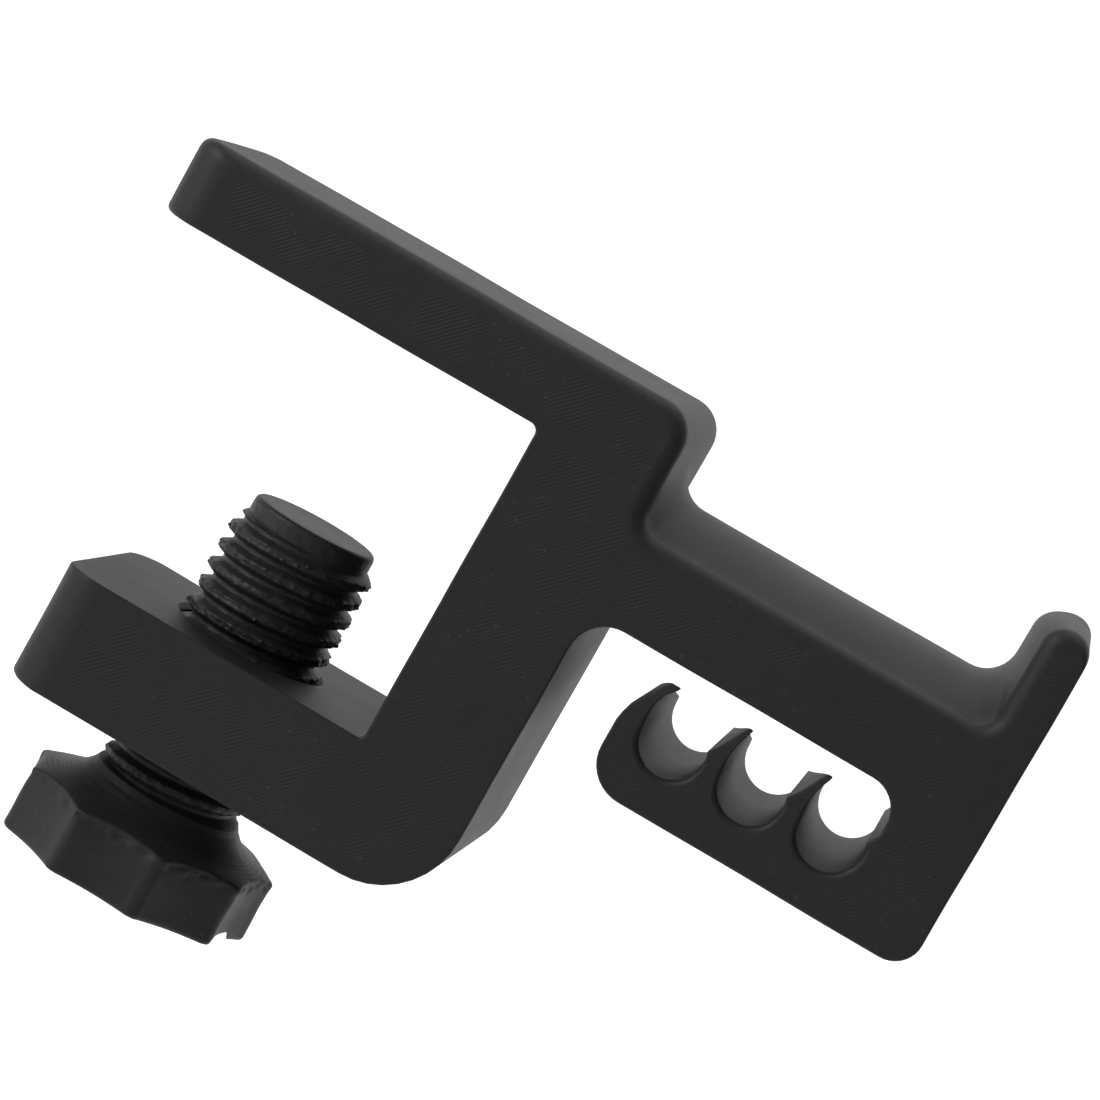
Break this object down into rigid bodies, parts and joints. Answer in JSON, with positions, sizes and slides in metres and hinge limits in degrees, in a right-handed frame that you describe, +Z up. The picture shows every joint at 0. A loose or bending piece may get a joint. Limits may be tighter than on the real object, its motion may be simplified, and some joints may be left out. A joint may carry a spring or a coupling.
{
  "type": "headphone hook",
  "caption": "Clamp-on headphone hook for a desk edge, with a crowned saddle, cable clips and a threaded thumb screw.",
  "frame": {"origin": "on the underside of the clamp's upper arm, above the thumb screw's axis, midway across the width", "axes": "+X points away from the desk towards the hook, +Y across the width towards the clamp's back face, +Z up"},
  "size_m": [0.1142, 0.034, 0.0814],
  "materials": {
    "body_plastic": "black layered print with fine slanting fill lines, satin",
    "screw_plastic": "black layered print with rough thread crests, satin",
    "tip_plastic": "black print, lightly worn flat end"
  },
  "bodies": {
    "clamp": {"clamp_body": "body_plastic"},
    "screw_carrier": {"screw_tip": "tip_plastic"},
    "screw": {"thumb_screw": "screw_plastic"}
  },
  "joints": [
    {"name": "screw_travel", "type": "slide", "parent": "clamp", "child": "screw_carrier", "axis": [0, 0, 1], "range_m": [-0.015, 0.005]},
    {"name": "screw_turn", "type": "hinge", "parent": "screw_carrier", "child": "screw", "pos_m": [0, 0, -0.045], "axis": [0, 0, 1], "range_deg": [-2160, 720]}
  ],
  "couplings": [
    {"joint": "screw_travel", "follows": "screw_turn", "m_per_rad": 0.00039789}
  ]
}
